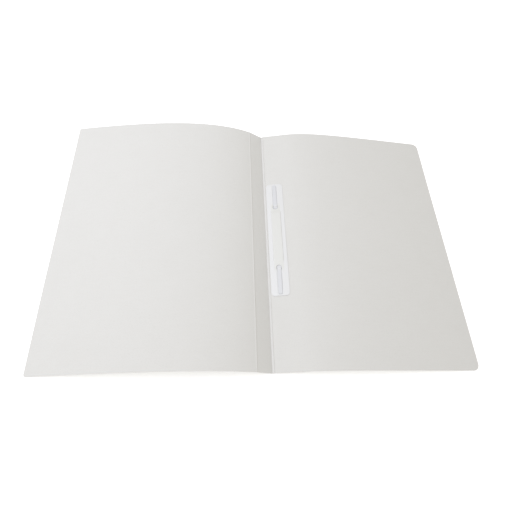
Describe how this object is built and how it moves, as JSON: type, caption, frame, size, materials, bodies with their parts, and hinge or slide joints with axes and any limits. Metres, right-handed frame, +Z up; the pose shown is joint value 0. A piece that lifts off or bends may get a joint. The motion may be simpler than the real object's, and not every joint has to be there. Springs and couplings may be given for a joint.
{
  "type": "flat file folder with prong fastener",
  "caption": "White card file for A4 sheets, lying open with bowed covers, a narrow scored spine and a two-prong fastener under a ribbed press plate.",
  "frame": {"origin": "middle of the open file's width and height, on the table that it lies on", "axes": "+X from the front cover towards the back cover, +Y along the spine away from the reader, +Z up from the table"},
  "size_m": [0.4518, 0.307, 0.0201],
  "materials": {
    "card": "uncoated matt white card, slightly warm",
    "strap_plastic": "satin translucent white polypropylene",
    "plate_plastic": "satin white polypropylene"
  },
  "bodies": {
    "back": {"back_cover": "card", "glue_flange": "card", "fastener_strap": "strap_plastic", "press_plate": "plate_plastic"},
    "spine": {"spine_panel": "card"},
    "front": {"front_cover": "card"}
  },
  "joints": [
    {"name": "spine_fold", "type": "hinge", "parent": "back", "child": "spine", "pos_m": [0.00749, 0, 0.00044], "axis": [0, 1, 0], "range_deg": [0, 61.5]},
    {"name": "cover_fold", "type": "hinge", "parent": "spine", "child": "front", "pos_m": [-0.00868, 0, 0.00922], "axis": [0, 1, 0], "range_deg": [0, 113.5]}
  ]
}
